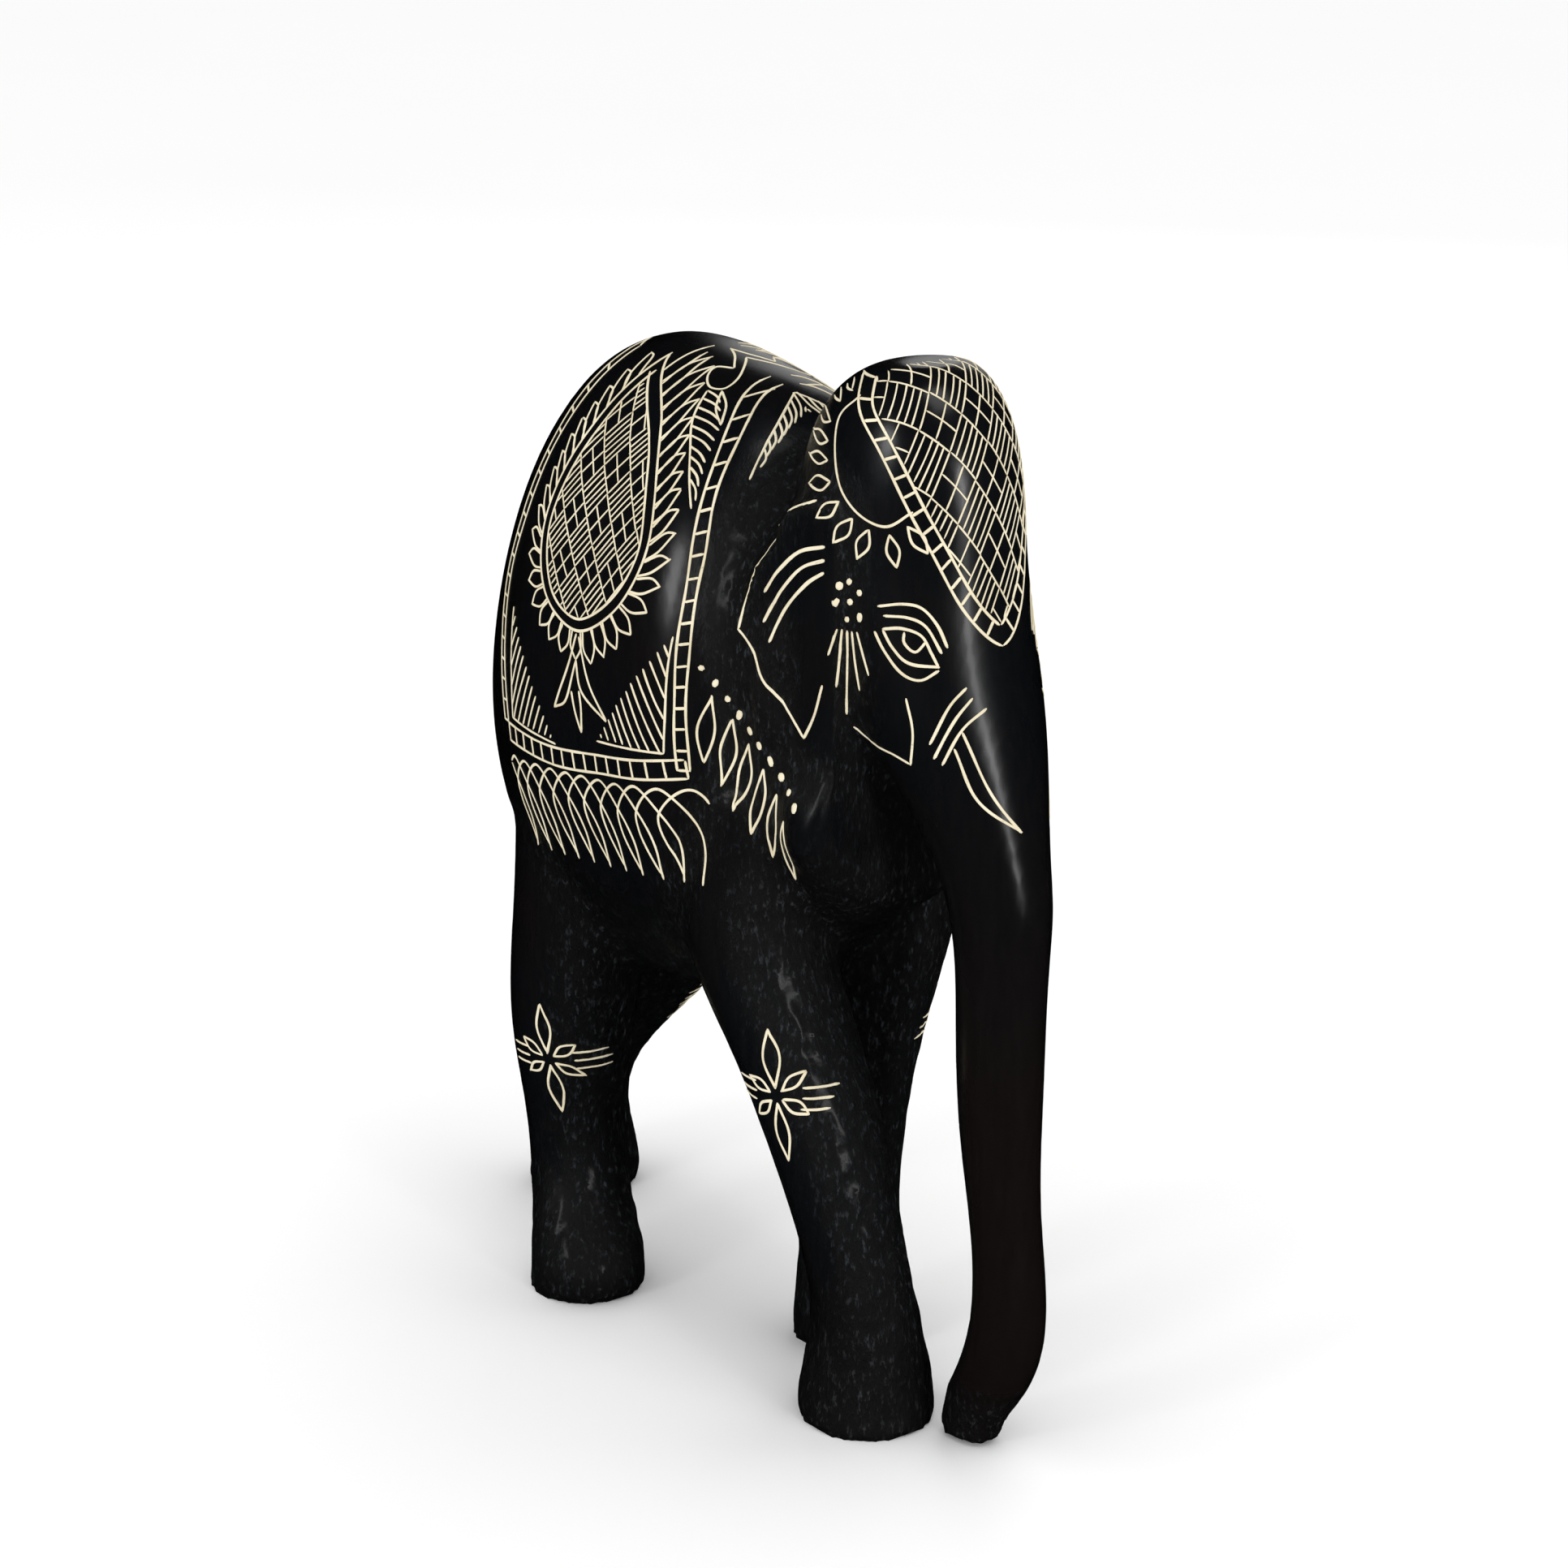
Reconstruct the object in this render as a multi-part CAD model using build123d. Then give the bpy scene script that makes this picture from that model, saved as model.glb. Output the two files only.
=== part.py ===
from build123d import *

import os
from math import cos, radians, sin

# A walking elephant carved from one block of dark wood, decorated all over with
# fine engraved lines that are filled with a pale paste.  The wood is one solid.
# Each motif of lines is a plain stand-in: a thin layer that covers the whole
# ground of the motif, so it also covers the wood between its lines.
# Frame: +X towards the head, +Y the elephant's left, +Z up, with the origin on
# the ground under the middle of the bounding box.  Millimetres.

# Line work
LINE_WIDTH = 0.9
LINE_RELIEF = 0.3       # a motif's layer stands this far proud of the wood
BORDER_WIDTH = 4.4      # over both rails of a ladder border

# Relief
EAR_STEP = 1.7          # how far an ear stands proud of the neck

# Torso from rump to chest: x, top, bottom, half width
TORSO = [
    (-62, 136, 112, 4),
    (-55, 163, 86, 21),
    (-45, 184, 76, 30),
    (-33, 198, 72, 35),
    (-18, 202, 71, 38),
    (0, 200, 72, 38),
    (14, 196, 74, 37),
    (26, 186, 82, 30),
    (38, 182, 95, 26),
    (52, 177, 112, 20),
]

# Head and trunk from the crown to the curled tip: height, x, half length, half width
HEAD = [
    (208, 55, 4, 5),
    (205, 52, 12, 12),
    (195, 50, 20, 17),
    (175, 50, 23, 19),
    (150, 58, 20, 18),
    (130, 68, 15, 13),
    (110, 76, 11, 9),
    (85, 77, 9, 8),
    (60, 78, 8, 7),
    (35, 81, 7, 7),
    (20, 79, 8, 7),
    (10, 74, 8, 6),
    (1, 71, 6, 5),
]

# Legs: (x, y, radius) of foot, ankle and knee, then (x, y, half length, half width) of the thigh
HEEL_HEIGHT = 10
ANKLE_HEIGHT = 30
KNEE_HEIGHT = 62
THIGH_HEIGHT = 95
HIP_HEIGHT = 125
LEG_PITCH = 12.5        # spacing of the sections of a leg
LEGS = {
    "front_right": ((51, -10, 13), (51, -12, 10), (40, -14, 12), (25, -17, 14, 14)),
    "front_left": ((20, 11, 12), (18, 12, 10), (20, 14, 11), (23, 18, 14, 13)),
    "rear_right": ((-33, -18, 12), (-40, -15, 10), (-36, -18, 13), (-31, -18, 17, 13)),
    "rear_left": ((-80, 14, 12), (-75, 13, 10), (-50, 17, 13), (-38, 19, 18, 13)),
}

# Tail, close against the rump: height, x, radius
TAIL = [(152, -57, 3), (126, -62, 3.5), (100, -64, 3), (78, -64, 4.5), (64, -63, 4.5), (52, -62, 1.5)]

# Outline of an ear from the side, round its rear edge and back inside the head
EAR = [(30, 190), (25, 182), (27, 168), (29, 155), (36, 143), (47, 135), (58, 140), (62, 160), (52, 185)]


def torso(grow=0.0):
    sections = []
    for x, top, bottom, half_width in TORSO:
        middle = Plane(origin=(x, 0, (top + bottom) / 2), x_dir=(0, 1, 0), z_dir=(1, 0, 0))
        sections.append(middle * Ellipse(half_width + grow, (top - bottom) / 2 + grow))
    return loft(sections)


def head_and_trunk(grow=0.0):
    sections = []
    for height, x, half_length, half_width in HEAD:
        level = Plane(origin=(x, 0, height))
        sections.append(level * Ellipse(half_length + grow, half_width + grow))
    return loft(sections)


def eased(rows, pitch):
    """The rows, blended by a smooth curve to even steps of their first value."""
    slopes = []
    for i in range(len(rows)):
        before = rows[max(i - 1, 0)]
        after = rows[min(i + 1, len(rows) - 1)]
        slopes.append([(b - a) / (after[0] - before[0]) for a, b in zip(before, after)])
    result = []
    count = round((rows[-1][0] - rows[0][0]) / pitch)
    for step in range(count + 1):
        place = rows[0][0] + (rows[-1][0] - rows[0][0]) * step / count
        i = max(k for k in range(len(rows) - 1) if rows[k][0] <= place)
        run = rows[i + 1][0] - rows[i][0]
        t = (place - rows[i][0]) / run
        start = (2 * t ** 3 - 3 * t ** 2 + 1, (t ** 3 - 2 * t ** 2 + t) * run)
        end = (3 * t ** 2 - 2 * t ** 3, (t ** 3 - t ** 2) * run)
        result.append([
            start[0] * a + start[1] * da + end[0] * b + end[1] * db
            for a, da, b, db in zip(rows[i], slopes[i], rows[i + 1], slopes[i + 1])
        ])
    return result


def leg(foot, ankle, knee, thigh, grow=0.0):
    foot_x, foot_y, foot_r = foot
    thigh_x, thigh_y, thigh_a, thigh_b = thigh
    rows = [
        (0, foot_x, foot_y, foot_r, foot_r),
        (HEEL_HEIGHT, foot_x, foot_y, foot_r * 0.96, foot_r * 0.95),
        (ANKLE_HEIGHT, ankle[0], ankle[1], ankle[2], ankle[2]),
        (KNEE_HEIGHT, knee[0], knee[1], knee[2], knee[2]),
        (THIGH_HEIGHT, thigh_x, thigh_y, thigh_a, thigh_b),
        (HIP_HEIGHT, thigh_x, thigh_y, thigh_a, thigh_b * 0.9),
    ]
    sections = []
    for height, x, y, half_length, half_width in eased(rows, LEG_PITCH):
        sections.append(Plane(origin=(x, y, height)) * Ellipse(half_length + grow, half_width + grow))
    return loft(sections)


def tail():
    return loft([Plane(origin=(x, 0, height)) * Circle(radius) for height, x, radius in TAIL])


def ears(grow=0.0):
    """The two ears in relief: the neck grown by the ear step, kept inside the ear outline."""
    outline = make_face(Spline(EAR, periodic=True))
    reach = 2 * max(row[3] for row in TORSO)
    block = extrude(Plane.XZ * outline, amount=reach, both=True)
    return torso(EAR_STEP + grow) & block


def body(grow=0.0):
    shape = torso(grow) + head_and_trunk(grow)
    for limb in LEGS.values():
        shape += leg(*limb, grow=grow)
    return shape + tail()


# ---- drawing the lines ----------------------------------------------------

def drawing_plane(azimuth, tilt, axis_x, axis_y):
    """A drawing plane beside the right flank.  Azimuth turns it towards the head, tilt
    lifts it towards the spine, and it looks at the upright line through the axis point."""
    a = radians(azimuth)
    t = radians(tilt)
    facing = Vector(sin(a) * cos(t), -cos(a) * cos(t), sin(t))
    return Plane(origin=(axis_x, axis_y, 0), x_dir=(cos(a), sin(a), 0), z_dir=facing)


def lens(base, tip, half_width):
    """A pointed oval between two arcs."""
    base = Vector(*base)
    tip = Vector(*tip)
    aside = Vector(base.Y - tip.Y, tip.X - base.X).normalized() * half_width
    middle = (base + tip) / 2
    return make_face([ThreePointArc(base, middle + aside, tip), ThreePointArc(tip, middle - aside, base)])


def band(path, width):
    return trace(Spline(path), width)


def group(*shapes):
    """Flat shapes that lie clear of each other, kept as one drawing."""
    return Sketch(children=[face for shape in shapes for face in shape.faces()])


# ---- blanket --------------------------------------------------------------

DROP_TIP = (-14, 200)
DROP_CENTRE = (-5.5, 163)
DROP_RADIUS = 20
TRIANGLE_BASE = 15
TRIANGLE_HEIGHT = 20
FRINGE_DEPTH = 17


def blanket_front_border():
    return band([(9, 197), (15.5, 188), (19.5, 172), (21.5, 156), (22.2, 129)], BORDER_WIDTH)


def blanket_rear_border():
    return band([(-27, 190), (-31, 176), (-34, 160), (-35, 145), (-33, 130)], BORDER_WIDTH)


def blanket_lower_border():
    return band([(-30, 124), (-16, 124), (0, 125.3), (18, 128)], BORDER_WIDTH)


def drop_motif():
    """A teardrop with its ring of petals: a round end drawn out to the tip."""
    points = [DROP_TIP]
    for step in range(7):
        turn = radians(30 - step * 40)
        points.append((DROP_CENTRE[0] + DROP_RADIUS * cos(turn), DROP_CENTRE[1] + DROP_RADIUS * sin(turn)))
    return make_face(Spline(points, periodic=True))


def corner_triangles():
    triangles = []
    for (x, z), inward in (((17.5, 132.5), -1), ((-28, 128.5), 1)):
        corners = [(x, z), (x + inward * TRIANGLE_BASE, z), (x, z + TRIANGLE_HEIGHT), (x, z)]
        triangles.append(make_face(Polyline(corners)))
    return group(*triangles)


def fringe():
    return band([(-31, 110), (-15, 110.5), (5, 112.5), (24, 115)], FRINGE_DEPTH)


# ---- shoulder, neck and ear ------------------------------------------------

def shoulder_feather():
    return group(Pos(1.5, 94) * Circle(4), lens((5.5, 88), (14.5, 67.5), 2))


def neck_feather():
    return lens((16, 98), (22, 78), 1.5)


NECKLACE_WIDTH = 8


def ear_line():
    return group(
        band([(40, 180.9), (31.5, 175), (30, 166), (30.3, 158.5)], LINE_WIDTH),
        band([(31, 155.8), (37.5, 149.5), (45.5, 140.5)], LINE_WIDTH),
    )


def necklace():
    return band([(30, 140), (35, 132), (43, 121)], NECKLACE_WIDTH)


# ---- head --------------------------------------------------------------------

def temple_arc():
    return trace(ThreePointArc((-9.5, 203), (-13, 189), (0, 182)), LINE_WIDTH)


def eye():
    """The almond of the eye and the brow over it."""
    return group(lens((-3.5, 162.5), (7, 156.6), 2.2), lens((-4.5, 166.8), (8.5, 160.5), 1))


def tusk():
    return lens((11, 144), (22.6, 126.4), 1.6)


def cap_border():
    return band([(-8, 201.5), (-4.5, 196), (2, 185), (8, 175), (13.5, 166), (17, 162.5)], BORDER_WIDTH)


def cap_lattice():
    half = [(0, 168), (6, 177), (8, 188), (6, 199)]
    outline = half + [(0, 202)] + [(-y, z) for y, z in reversed(half[1:])]
    return make_face(Spline(outline, periodic=True))


# ---- rump and legs -----------------------------------------------------------

def rump_tassels():
    return group(lens((3, 171), (1, 152), 1.8), lens((-1, 148), (-2, 129), 1.8))


def leg_flower(height):
    """The tall upper and lower petals and a short bar patch on each side."""
    upper = lens((0, height + 1), (0, height + 13), 2.5)
    lower = lens((0, height - 1), (0, height - 13), 2.5)
    bars = [Pos(side * 7, height) * Rectangle(4, 5) for side in (-1, 1)]
    return group(upper, lower, *bars)


FLANK = dict(azimuth=0, tilt=0, axis_x=0, axis_y=0)
SHOULDER = dict(azimuth=0, tilt=60, axis_x=0, axis_y=0, reach=200, depth=60)
CHEEK = dict(azimuth=45, tilt=0, axis_x=50, axis_y=0)
BROW = dict(azimuth=90, tilt=0, axis_x=50, axis_y=0)
RUMP = dict(azimuth=-50, tilt=0, axis_x=-40, axis_y=0)

# Motifs drawn once for the right side and mirrored to the left
PAIRED_MOTIFS = {
    "blanket_front_border": (blanket_front_border, FLANK),
    "blanket_rear_border": (blanket_rear_border, FLANK),
    "blanket_lower_border": (blanket_lower_border, FLANK),
    "drop_motif": (drop_motif, FLANK),
    "corner_triangles": (corner_triangles, FLANK),
    "shoulder_feather": (shoulder_feather, SHOULDER),
    "neck_feather": (neck_feather, SHOULDER),
    "ear_line": (ear_line, FLANK),
    "necklace": (necklace, FLANK),
    "temple_arc": (temple_arc, CHEEK),
    "eye": (eye, CHEEK),
    "tusk": (tusk, CHEEK),
    "cap_border": (cap_border, CHEEK),
    "rump_tassels": (rump_tassels, RUMP),
}
FLOWER_HEIGHTS = {"front": 68, "rear": 54}
FLOWER_AZIMUTH = 20


def stamp(sketch, azimuth, tilt, axis_x, axis_y, reach=70, depth=70):
    """The drawing pushed straight in towards its axis, from reach away, as deep as depth."""
    plane = drawing_plane(azimuth, tilt, axis_x, axis_y)
    return extrude(plane.offset(reach) * sketch, amount=depth, dir=-plane.z_dir)


def flower_block(name):
    foot, ankle, knee, thigh = LEGS[name]
    end, side = name.split("_")
    height = FLOWER_HEIGHTS[end]
    share = (height - KNEE_HEIGHT) / (THIGH_HEIGHT - KNEE_HEIGHT)
    axis_x = knee[0] + (thigh[0] - knee[0]) * share
    axis_y = -abs(knee[1] + (thigh[1] - knee[1]) * share)
    block = stamp(leg_flower(height), FLOWER_AZIMUTH, 0, axis_x, axis_y)
    if side == "left":
        block = mirror(block, Plane.XZ)
    return block


def right_half():
    """Everything on the elephant's right of the middle plane."""
    size = 500
    return Pos(0, -size / 2, 0) * Box(size, size, size)


def main():
    os.makedirs("parts", exist_ok=True)
    wood = body() + ears()
    skin = body(LINE_RELIEF) + ears(LINE_RELIEF) - wood
    pieces = {"carved_body": wood}
    for name, (motif, view) in PAIRED_MOTIFS.items():
        piece = stamp(motif(), **view) & right_half() & skin
        pieces[name + "_right"] = piece
        pieces[name + "_left"] = mirror(piece, Plane.XZ)
    block = stamp(fringe(), **FLANK)
    pieces["fringe_right"] = block & skin
    pieces["fringe_left"] = mirror(block, Plane.XZ) & skin
    pieces["cap_lattice"] = stamp(cap_lattice(), **BROW) & skin
    for name in LEGS:
        pieces[name + "_leg_flower"] = flower_block(name) & skin
    middle = wood.bounding_box().center()
    for name, piece in pieces.items():
        placed = Pos(-middle.X, -middle.Y, 0) * piece
        placed.label = name
        export_step(placed, f"parts/{name}.step")


main()
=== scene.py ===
from math import ceil, cos, hypot, pi, radians, sin

import bmesh
import bpy
import numpy as np
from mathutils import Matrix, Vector, noise
from mathutils.bvhtree import BVHTree


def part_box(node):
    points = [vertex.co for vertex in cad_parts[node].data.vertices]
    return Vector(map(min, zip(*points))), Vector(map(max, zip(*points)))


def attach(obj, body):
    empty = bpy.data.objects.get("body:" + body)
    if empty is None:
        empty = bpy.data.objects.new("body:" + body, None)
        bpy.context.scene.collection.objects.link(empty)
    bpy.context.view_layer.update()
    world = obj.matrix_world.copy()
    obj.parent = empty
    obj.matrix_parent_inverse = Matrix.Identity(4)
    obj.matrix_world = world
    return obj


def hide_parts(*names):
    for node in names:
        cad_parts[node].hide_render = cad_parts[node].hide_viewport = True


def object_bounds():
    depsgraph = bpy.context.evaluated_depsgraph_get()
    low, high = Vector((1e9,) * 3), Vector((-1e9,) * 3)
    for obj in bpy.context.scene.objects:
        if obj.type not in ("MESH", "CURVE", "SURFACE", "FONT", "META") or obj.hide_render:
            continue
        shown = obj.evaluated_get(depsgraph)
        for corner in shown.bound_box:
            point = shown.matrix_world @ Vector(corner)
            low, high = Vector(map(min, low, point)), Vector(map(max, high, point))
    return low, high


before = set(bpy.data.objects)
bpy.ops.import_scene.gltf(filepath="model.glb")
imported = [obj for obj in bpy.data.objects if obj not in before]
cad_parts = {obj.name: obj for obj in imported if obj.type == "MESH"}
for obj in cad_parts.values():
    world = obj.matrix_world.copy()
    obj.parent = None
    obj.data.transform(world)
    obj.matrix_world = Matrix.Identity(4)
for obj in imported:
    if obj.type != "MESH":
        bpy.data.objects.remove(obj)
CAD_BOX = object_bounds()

# A walking elephant carved from one block of near-black wood, with fine engraved
# lines filled with pale paste.  The wood is the CAD solid, remeshed, softened in
# its hollows and tooled.  The lines are drawn flat, in millimetres, and pushed
# onto the wood from the side that each motif faces.

MM = 0.001

# Wood
VOXEL = 1.1 * MM
FILLET_ROUNDS = 45          # smoothing steps in the hollows
FILLET_SHARE = 0.6          # how far each step moves a point towards its neighbours
HOLLOW_PULL = 0.02 * MM     # a place counts as a full hollow from this much inward pull
HOLLOW_SPREAD = 25          # steps that spread the hollowness round each hollow
TOOL_DEPTH = 0.22 * MM      # undulation left by the carver
CHISEL_DEPTH = 0.3 * MM     # marks in the hollows that were never polished

# Ears, in mm
FLANK_X = 2                 # where the flank's drawing plane has its zero along x
EAR_BACK = 30               # the rear rim of the ear along x
EAR_OUT = 25.8              # distance of the rear rim from the middle plane
EAR_SLOPE = 0.24            # the slab comes nearer to the middle plane towards the front
EAR_LIFT = 6                # most that the slab stands off the neck

# Lines, in mm
LINE_WIDTH = 0.68
FINE_WIDTH = 0.42           # in the lattices
BEAD_WIDTH = 1.7
LINE_CROWN = 0.12           # how far the paste stands proud
LINE_EDGE = 0.08            # how far its edges sink into the wood
LINE_ROOT = 0.35            # depth of the groove under it
LINE_STEP = 0.5             # spacing of the points along a line
WIDTH_WOBBLE = 0.14
HAND_WOBBLE = 0.1
BREAK_GAP = 3.0             # a line stops where the wood falls away by more
CAST_FROM = 200             # how far outside the wood the drawing planes stand

rng = np.random.default_rng(7)


# ---- wood ----------------------------------------------------------------------

def remeshed_body():
    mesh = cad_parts["carved_body"].data.copy()
    mesh.materials.clear()
    shape = bmesh.new()
    shape.from_mesh(mesh)
    bmesh.ops.remove_doubles(shape, verts=shape.verts, dist=1e-6)
    shape.to_mesh(mesh)
    shape.free()
    wood = bpy.data.objects.new("elephant_wood", mesh)
    bpy.context.scene.collection.objects.link(wood)
    remesh = wood.modifiers.new("remesh", "REMESH")
    remesh.mode = "VOXEL"
    remesh.voxel_size = VOXEL
    apply_modifiers(wood)
    return wood


def apply_modifiers(obj):
    bpy.context.view_layer.update()
    graph = bpy.context.evaluated_depsgraph_get()
    obj.data = bpy.data.meshes.new_from_object(obj.evaluated_get(graph))
    obj.modifiers.clear()


def read_points(mesh):
    points = np.empty(len(mesh.vertices) * 3)
    mesh.vertices.foreach_get("co", points)
    return points.reshape(-1, 3)


def read_normals(mesh):
    normals = np.empty(len(mesh.vertices) * 3)
    mesh.vertices.foreach_get("normal", normals)
    return normals.reshape(-1, 3)


def write_points(mesh, points):
    mesh.vertices.foreach_set("co", points.ravel())
    mesh.update()


def neighbour_average(mesh):
    """A function that averages any per-vertex values over each vertex's neighbours."""
    edges = np.empty(len(mesh.edges) * 2, int)
    mesh.edges.foreach_get("vertices", edges)
    first, second = edges.reshape(-1, 2).T
    count = len(mesh.vertices)
    share = 1 / np.maximum(np.bincount(first, minlength=count)
                           + np.bincount(second, minlength=count), 1)

    def average(values):
        columns = []
        for column in values.T:
            total = np.bincount(first, column[second], count)
            total += np.bincount(second, column[first], count)
            columns.append(total * share)
        return np.stack(columns, 1)
    return average


def soften_hollows(mesh):
    """Fillets where limbs, ears and neck meet.  Returns how hollow each place was, 0 to 1."""
    average = neighbour_average(mesh)
    hollow = np.zeros((len(mesh.vertices), 1))
    for step in range(FILLET_ROUNDS):
        points = read_points(mesh)
        pull = average(points) - points
        inward = (pull * read_normals(mesh)).sum(1, keepdims=True)
        weight = np.clip(inward / HOLLOW_PULL, 0, 1)
        hollow = np.maximum(hollow, weight)
        weight = np.maximum(average(weight), weight * 0.5)
        above_floor = points[:, 2:] > 1 * MM
        write_points(mesh, points + pull * weight * FILLET_SHARE * above_floor)
    for step in range(HOLLOW_SPREAD):
        hollow = average(hollow)
    return np.clip(hollow[:, 0] * 1.6, 0, 1)


def ramp(value, low, high):
    return np.clip((value - low) / (high - low), 0, 1)


def flat_ears(mesh):
    """Each ear as a flat slab that closes on the cheek, with a low step round its rim."""
    points, normals = read_points(mesh) / MM, read_normals(mesh)
    x, y, z = points.T
    side = np.sign(y)
    out = np.abs(y)
    slab = EAR_OUT - EAR_SLOPE * (x - EAR_BACK)
    rim = np.vstack([curve(stroke) for stroke in EAR_RIM])
    in_ear = inside(np.stack([x - FLANK_X, z], 1), rim) & (normals[:, 1] * side > 0.1) & (out > 8)
    in_ear = in_ear[:, None].astype(float)
    average = neighbour_average(mesh)
    for step in range(3):
        in_ear = average(in_ear)
    in_ear = np.clip(in_ear * 3, 0, 1)
    lift = np.clip(slab - out, 0, EAR_LIFT) * in_ear[:, 0]
    head = ramp(x, 36, 42) * ramp(-x, -62, -57) * ramp(z, 118, 132)
    press = np.clip(out - slab, 0, None) * 0.95 * head
    points[:, 1] += side * (lift - press)
    write_points(mesh, points * MM)


def rough_places(points, normals, hollow):
    """Where the wood was left unpolished: inner legs, chest, feet, belly and creases."""
    x, y, z = points.T / MM
    inner = ramp(-normals[:, 1] * np.sign(y), 0.1, 0.7) * ramp(-z, -118, -100)
    chest = ramp(normals[:, 0], 0.25, 0.8) * ramp(-z, -125, -105) * ramp(-x, -70, -62)
    feet = ramp(-z, -38, -12) * 0.8 * ramp(-x, -68, -64)
    belly = ramp(-normals[:, 2], 0.3, 0.8) * ramp(z, 50, 60)
    jaw = hollow * ramp(x, 20, 30)
    lip = ramp(-z, -16, -8) * ramp(x, 62, 66)
    return np.max([inner, chest, feet, belly, jaw, hollow * 0.8, lip], 0)


def tooled(mesh, rough):
    """The slow undulation of the knife, and short chisel marks in the rough places."""
    points = read_points(mesh)
    normals = read_normals(mesh)
    shift = np.empty(len(points))
    for i, (x, y, z) in enumerate(points / MM):
        slow = noise.noise(Vector((x, y, z * 0.6)) / 17)
        shift[i] = TOOL_DEPTH * slow
        if rough[i] > 0.05:
            mark = noise.noise(Vector((x * 1.3, y * 1.3, z * 0.45)) / 2.2 + Vector((9, 4, 2)))
            shift[i] += CHISEL_DEPTH * mark * rough[i]
    on_floor = points[:, 2] < 0.4 * MM
    shift[on_floor] = 0
    low, high = (np.array(corner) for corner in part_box("carved_body"))
    write_points(mesh, np.clip(points + normals * shift[:, None], low, high))


def carve_wood():
    wood = remeshed_body()
    mesh = wood.data
    flat_ears(mesh)
    hollow = soften_hollows(mesh)
    rough = rough_places(read_points(mesh), read_normals(mesh), hollow)
    tooled(mesh, rough)
    layer = mesh.attributes.new("rough_cut", "FLOAT", "POINT")
    layer.data.foreach_set("value", rough.astype(np.float32))
    mesh.polygons.foreach_set("use_smooth", np.ones(len(mesh.polygons), bool))
    mesh.materials.clear()
    mesh.materials.append(wood_material())
    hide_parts("carved_body")
    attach(wood, "root")
    return wood


# ---- flat drawing ------------------------------------------------------------------

def curve(points):
    """A smooth line through the points (Catmull-Rom), as closely spaced points."""
    points = np.array(points, float)
    points = np.vstack([2 * points[0] - points[1], points, 2 * points[-1] - points[-2]])
    pieces = []
    for a, b, c, d in zip(points, points[1:], points[2:], points[3:]):
        count = max(2, ceil(hypot(*(c - b)) / LINE_STEP))
        t = np.linspace(0, 1, count, endpoint=False)[:, None]
        pieces.append(0.5 * (2 * b + (c - a) * t + (2 * a - 5 * b + 4 * c - d) * t ** 2
                             + (3 * b - a - 3 * c + d) * t ** 3))
    pieces.append(points[-2:-1])
    return np.vstack(pieces)


def straight(start, end):
    start, end = np.array(start, float), np.array(end, float)
    count = max(2, ceil(hypot(*(end - start)) / LINE_STEP) + 1)
    return start + (end - start) * np.linspace(0, 1, count)[:, None]


def lengths(path):
    return np.concatenate([[0], np.cumsum(np.hypot(*np.diff(path, axis=0).T))])


def along(path, share):
    """The point at a share of the path's length."""
    run = lengths(path)
    return np.array([np.interp(share * run[-1], run, axis) for axis in path.T])


def sideways(path):
    """Unit vectors to the left of the path's direction."""
    direction = np.gradient(path, axis=0)
    direction /= np.maximum(np.hypot(*direction.T), 1e-9)[:, None]
    return np.stack([-direction[:, 1], direction[:, 0]], 1)


def beside(path, distance):
    return path + sideways(path) * distance


def leaf(base, tip, half_width):
    """Two bowed strokes between base and tip."""
    base, tip = np.array(base, float), np.array(tip, float)
    aside = np.array([base[1] - tip[1], tip[0] - base[0]])
    aside *= half_width / hypot(*aside)
    middle = (base + tip) / 2
    return [curve([base, middle + aside, tip]), curve([tip, middle - aside, base])]


def ladder(path, gap, pitch):
    """Two rails and the rungs between them."""
    left, right = beside(path, gap / 2), beside(path, -gap / 2)
    count = round(lengths(path)[-1] / pitch)
    rungs = [straight(along(left, i / count), along(right, i / count)) for i in range(count + 1)]
    return [left, right] + rungs


def inside(points, outline):
    """Which of the points lie inside the closed outline."""
    x, y = points.T
    result = np.zeros(len(points), bool)
    for (ax, ay), (bx, by) in zip(outline, np.roll(outline, -1, axis=0)):
        crosses = (ay > y) != (by > y)
        if ay != by:
            result ^= crosses & (x < (bx - ax) * (y - ay) / (by - ay) + ax)
    return result


def clipped(strokes, outline):
    """The stretches of the strokes inside the outline."""
    kept = []
    for stroke in strokes:
        run = []
        for point, ok in zip(stroke, inside(stroke, outline)):
            if ok:
                run.append(point)
                continue
            kept.append(run)
            run = []
        kept.append(run)
    return [np.array(run) for run in kept if len(run) > 2]


def diamond_lattice(outline, wide, tall, hatch):
    """Rows of large diamonds: one row hatched, the next split into four small ones."""
    low, high = outline.min(0), outline.max(0)
    strokes = []
    rows = ceil((high[1] - low[1]) / tall) * 2 + 2
    columns = ceil((high[0] - low[0]) / wide) + 2
    for row in range(rows):
        for column in range(columns):
            x = low[0] + (column + 0.5 * (row % 2)) * wide
            y = low[1] + row * tall / 2
            strokes += diamond(np.array([x, y]), wide / 2, tall / 2, row % 2 == 1, hatch)
    return clipped(strokes, outline)


def diamond(centre, across, up, hatched, hatch):
    left, top = centre - (across, 0), centre + (0, up)
    bottom, right = centre - (0, up), centre + (across, 0)
    strokes = [straight(left, top), straight(bottom, left)]
    if hatched:
        for i in range(1, hatch):
            share = i / hatch
            strokes.append(straight(bottom + (left - bottom) * share, right + (top - right) * share))
    else:
        strokes += [straight((left + top) / 2, (bottom + right) / 2)]
        strokes += [straight((left + bottom) / 2, (top + right) / 2)]
    return strokes


# ---- motifs, in millimetres on their drawing planes ----------------------------------

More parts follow.
